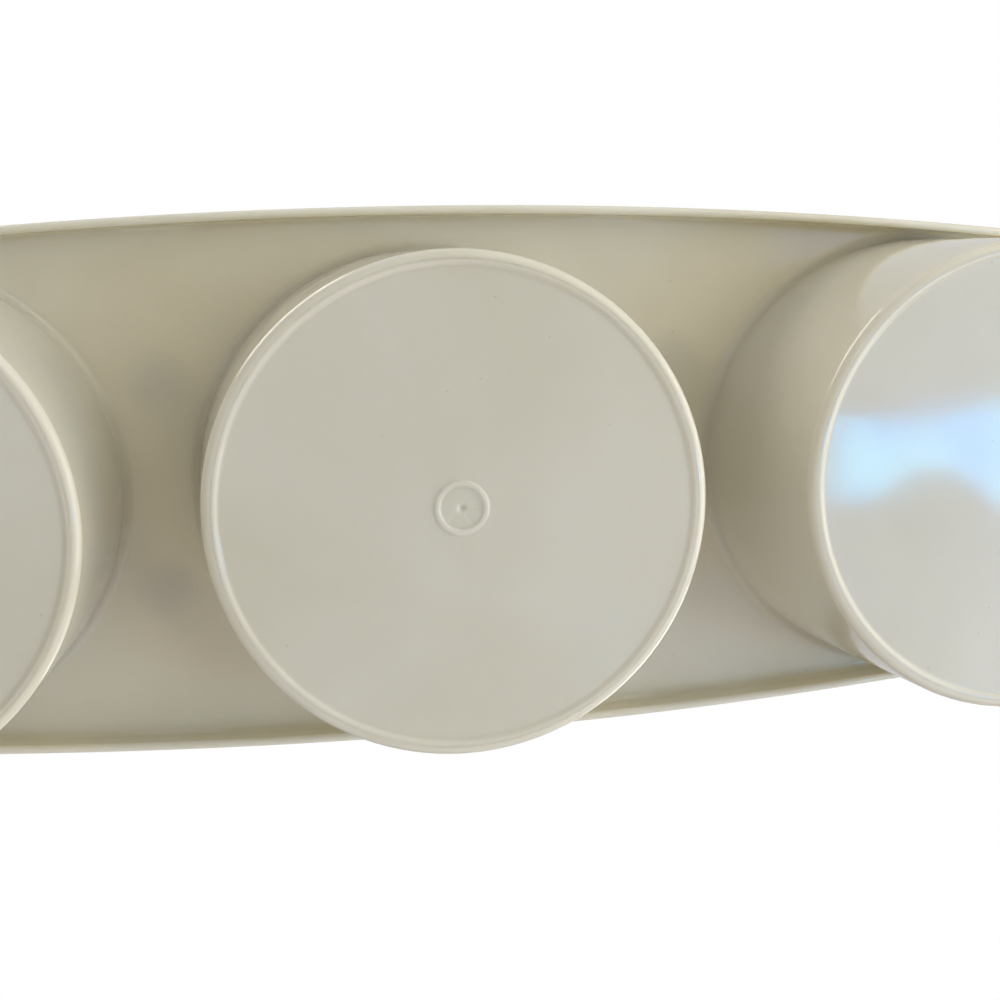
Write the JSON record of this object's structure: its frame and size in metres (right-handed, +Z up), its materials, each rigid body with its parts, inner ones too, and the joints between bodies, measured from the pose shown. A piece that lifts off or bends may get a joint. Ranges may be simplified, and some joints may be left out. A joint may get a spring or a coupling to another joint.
{
  "type": "condiment caddy",
  "caption": "Boat-shaped serving tray with a row of round wells, a flip lid hinged on a removable seal ring over each well, and an arched carry handle.",
  "frame": {"origin": "on the resting plane, under the centre of the middle well", "axes": "+Z up, +X along the row of wells to the right, -Y to the front, where the thumb tabs are"},
  "size_m": [0.3566, 0.1222, 0.1573],
  "materials": {
    "tray_plastic": "semi-gloss almond polypropylene, lightly scuffed",
    "handle_plastic": "semi-gloss almond polypropylene",
    "seal_plastic": "satin soft polyethylene, slightly translucent",
    "lid_plastic": "satin almond polypropylene"
  },
  "bodies": {
    "caddy": {"tray": "tray_plastic", "handle": "handle_plastic", "left_seal_ring": "seal_plastic", "middle_seal_ring": "seal_plastic", "right_seal_ring": "seal_plastic"},
    "left_lid": {"left_flip_lid": "lid_plastic"},
    "middle_lid": {"middle_flip_lid": "lid_plastic"},
    "right_lid": {"right_flip_lid": "lid_plastic"}
  },
  "joints": [
    {"name": "left_lid_hinge", "type": "hinge", "parent": "caddy", "child": "left_lid", "pos_m": [-0.1205, 0.016, 0.0684], "axis": [-1, 0, 0], "range_deg": [0, 105]},
    {"name": "middle_lid_hinge", "type": "hinge", "parent": "caddy", "child": "middle_lid", "pos_m": [0, 0.016, 0.0684], "axis": [-1, 0, 0], "range_deg": [0, 105]},
    {"name": "right_lid_hinge", "type": "hinge", "parent": "caddy", "child": "right_lid", "pos_m": [0.1205, 0.016, 0.0684], "axis": [-1, 0, 0], "range_deg": [0, 105]}
  ]
}
